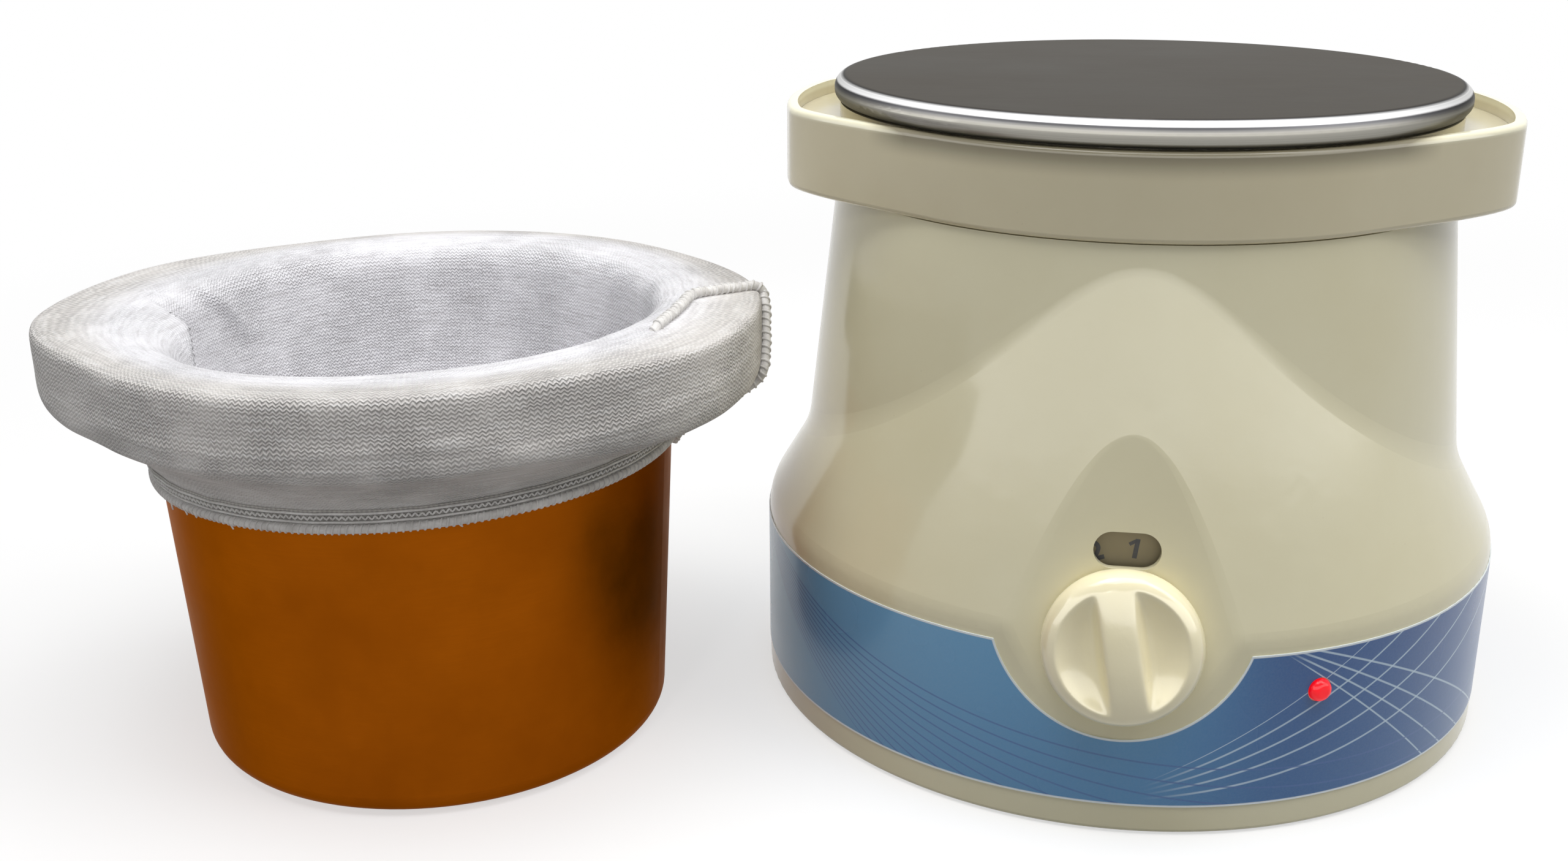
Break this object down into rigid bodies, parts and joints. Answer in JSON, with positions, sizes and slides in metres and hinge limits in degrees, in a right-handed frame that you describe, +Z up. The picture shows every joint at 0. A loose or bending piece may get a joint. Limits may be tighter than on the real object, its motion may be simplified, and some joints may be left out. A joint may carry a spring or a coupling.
{
  "type": "impression compound heater",
  "caption": "Dental compound heater: ivory moulded base with a control knob, a lift-out copper-coloured bowl under a metal lid, and a spare bowl that wears a stretched cloth cover",
  "frame": {"origin": "on the heater's upright axis, in the plane that it stands on", "axes": "+Z up, -Y towards the front with the knob, +X to the right as seen from the front; the spare bowl stands at -X"},
  "size_m": [0.3992, 0.2596, 0.1771],
  "materials": {
    "ivory": "glossy moulded ABS, ivory",
    "ivory_knob": "glossy moulded plastic, ivory",
    "anodised": "satin, copper-orange anodised",
    "spun_metal": "brushed, uncoloured",
    "cloth": "white single-jersey knit",
    "elastic": "overlocked white elastic band",
    "label_film": "satin printed film, blue",
    "red_lens": "clear red, lit",
    "steel": "zinc-plated",
    "brass_fit": "bare",
    "rubber": "matt black",
    "insulation": "pressed mineral fibre board",
    "board": "green circuit board",
    "black_part": "black moulding",
    "blue_part": "blue moulding",
    "dial_print": "ivory with black numerals",
    "glass_tube": "clear tube",
    "bare_aluminium": "cast and turned"
  },
  "bodies": {
    "heater": {"housing": "ivory", "base_plate": "steel", "base_screws": "steel", "rubber_feet": "rubber", "lower_spacers": "steel", "upper_spacers": "steel", "through_bolts": "steel", "bolt_nuts": "steel", "well_liner": "bare_aluminium", "liner_screws": "steel", "heating_plate": "bare_aluminium", "heating_element": "steel", "element_clamp": "steel", "clamp_bolt": "steel", "thermal_cutout": "black_part", "cutout_screws": "steel", "heat_shield": "steel", "insulation_disc": "insulation", "control_board": "board", "board_standoffs": "brass_fit", "board_screws": "steel", "heatsink": "bare_aluminium", "triac": "black_part", "film_capacitor": "blue_part", "terminal_block": "blue_part", "fuse_holder": "black_part", "glass_fuse": "glass_tube", "control_bracket": "steel", "bracket_screws": "steel", "potentiometer": "steel", "potentiometer_nut": "steel", "indicator_lens": "red_lens", "lamp_holder": "black_part", "cord_gland": "black_part", "gland_nut": "black_part", "label": "label_film"},
    "knob": {"knob": "ivory_knob", "dial_ring": "dial_print", "control_shaft": "brass_fit"},
    "bowl": {"seated_pot": "anodised", "seated_collar": "ivory", "seated_band": "ivory"},
    "lid": {"lid": "spun_metal"},
    "spare_bowl": {"spare_pot": "anodised", "spare_collar": "ivory", "spare_band": "ivory", "cloth_cover": "cloth", "hem_elastic": "elastic"}
  },
  "joints": [
    {"name": "knob_turn", "type": "hinge", "parent": "heater", "child": "knob", "pos_m": [0, -0.10139, 0.0513], "axis": [0, 0.9903, -0.1392], "range_deg": [-52, 198]},
    {"name": "bowl_lift", "type": "slide", "parent": "heater", "child": "bowl", "axis": [0, 0, 1], "range_m": [0, 0.16]},
    {"name": "lid_lift", "type": "slide", "parent": "bowl", "child": "lid", "axis": [0, 0, 1], "range_m": [0, 0.12]},
    {"name": "spare_lift", "type": "slide", "parent": "heater", "child": "spare_bowl", "axis": [0, 0, 1], "range_m": [0, 0.15]}
  ]
}
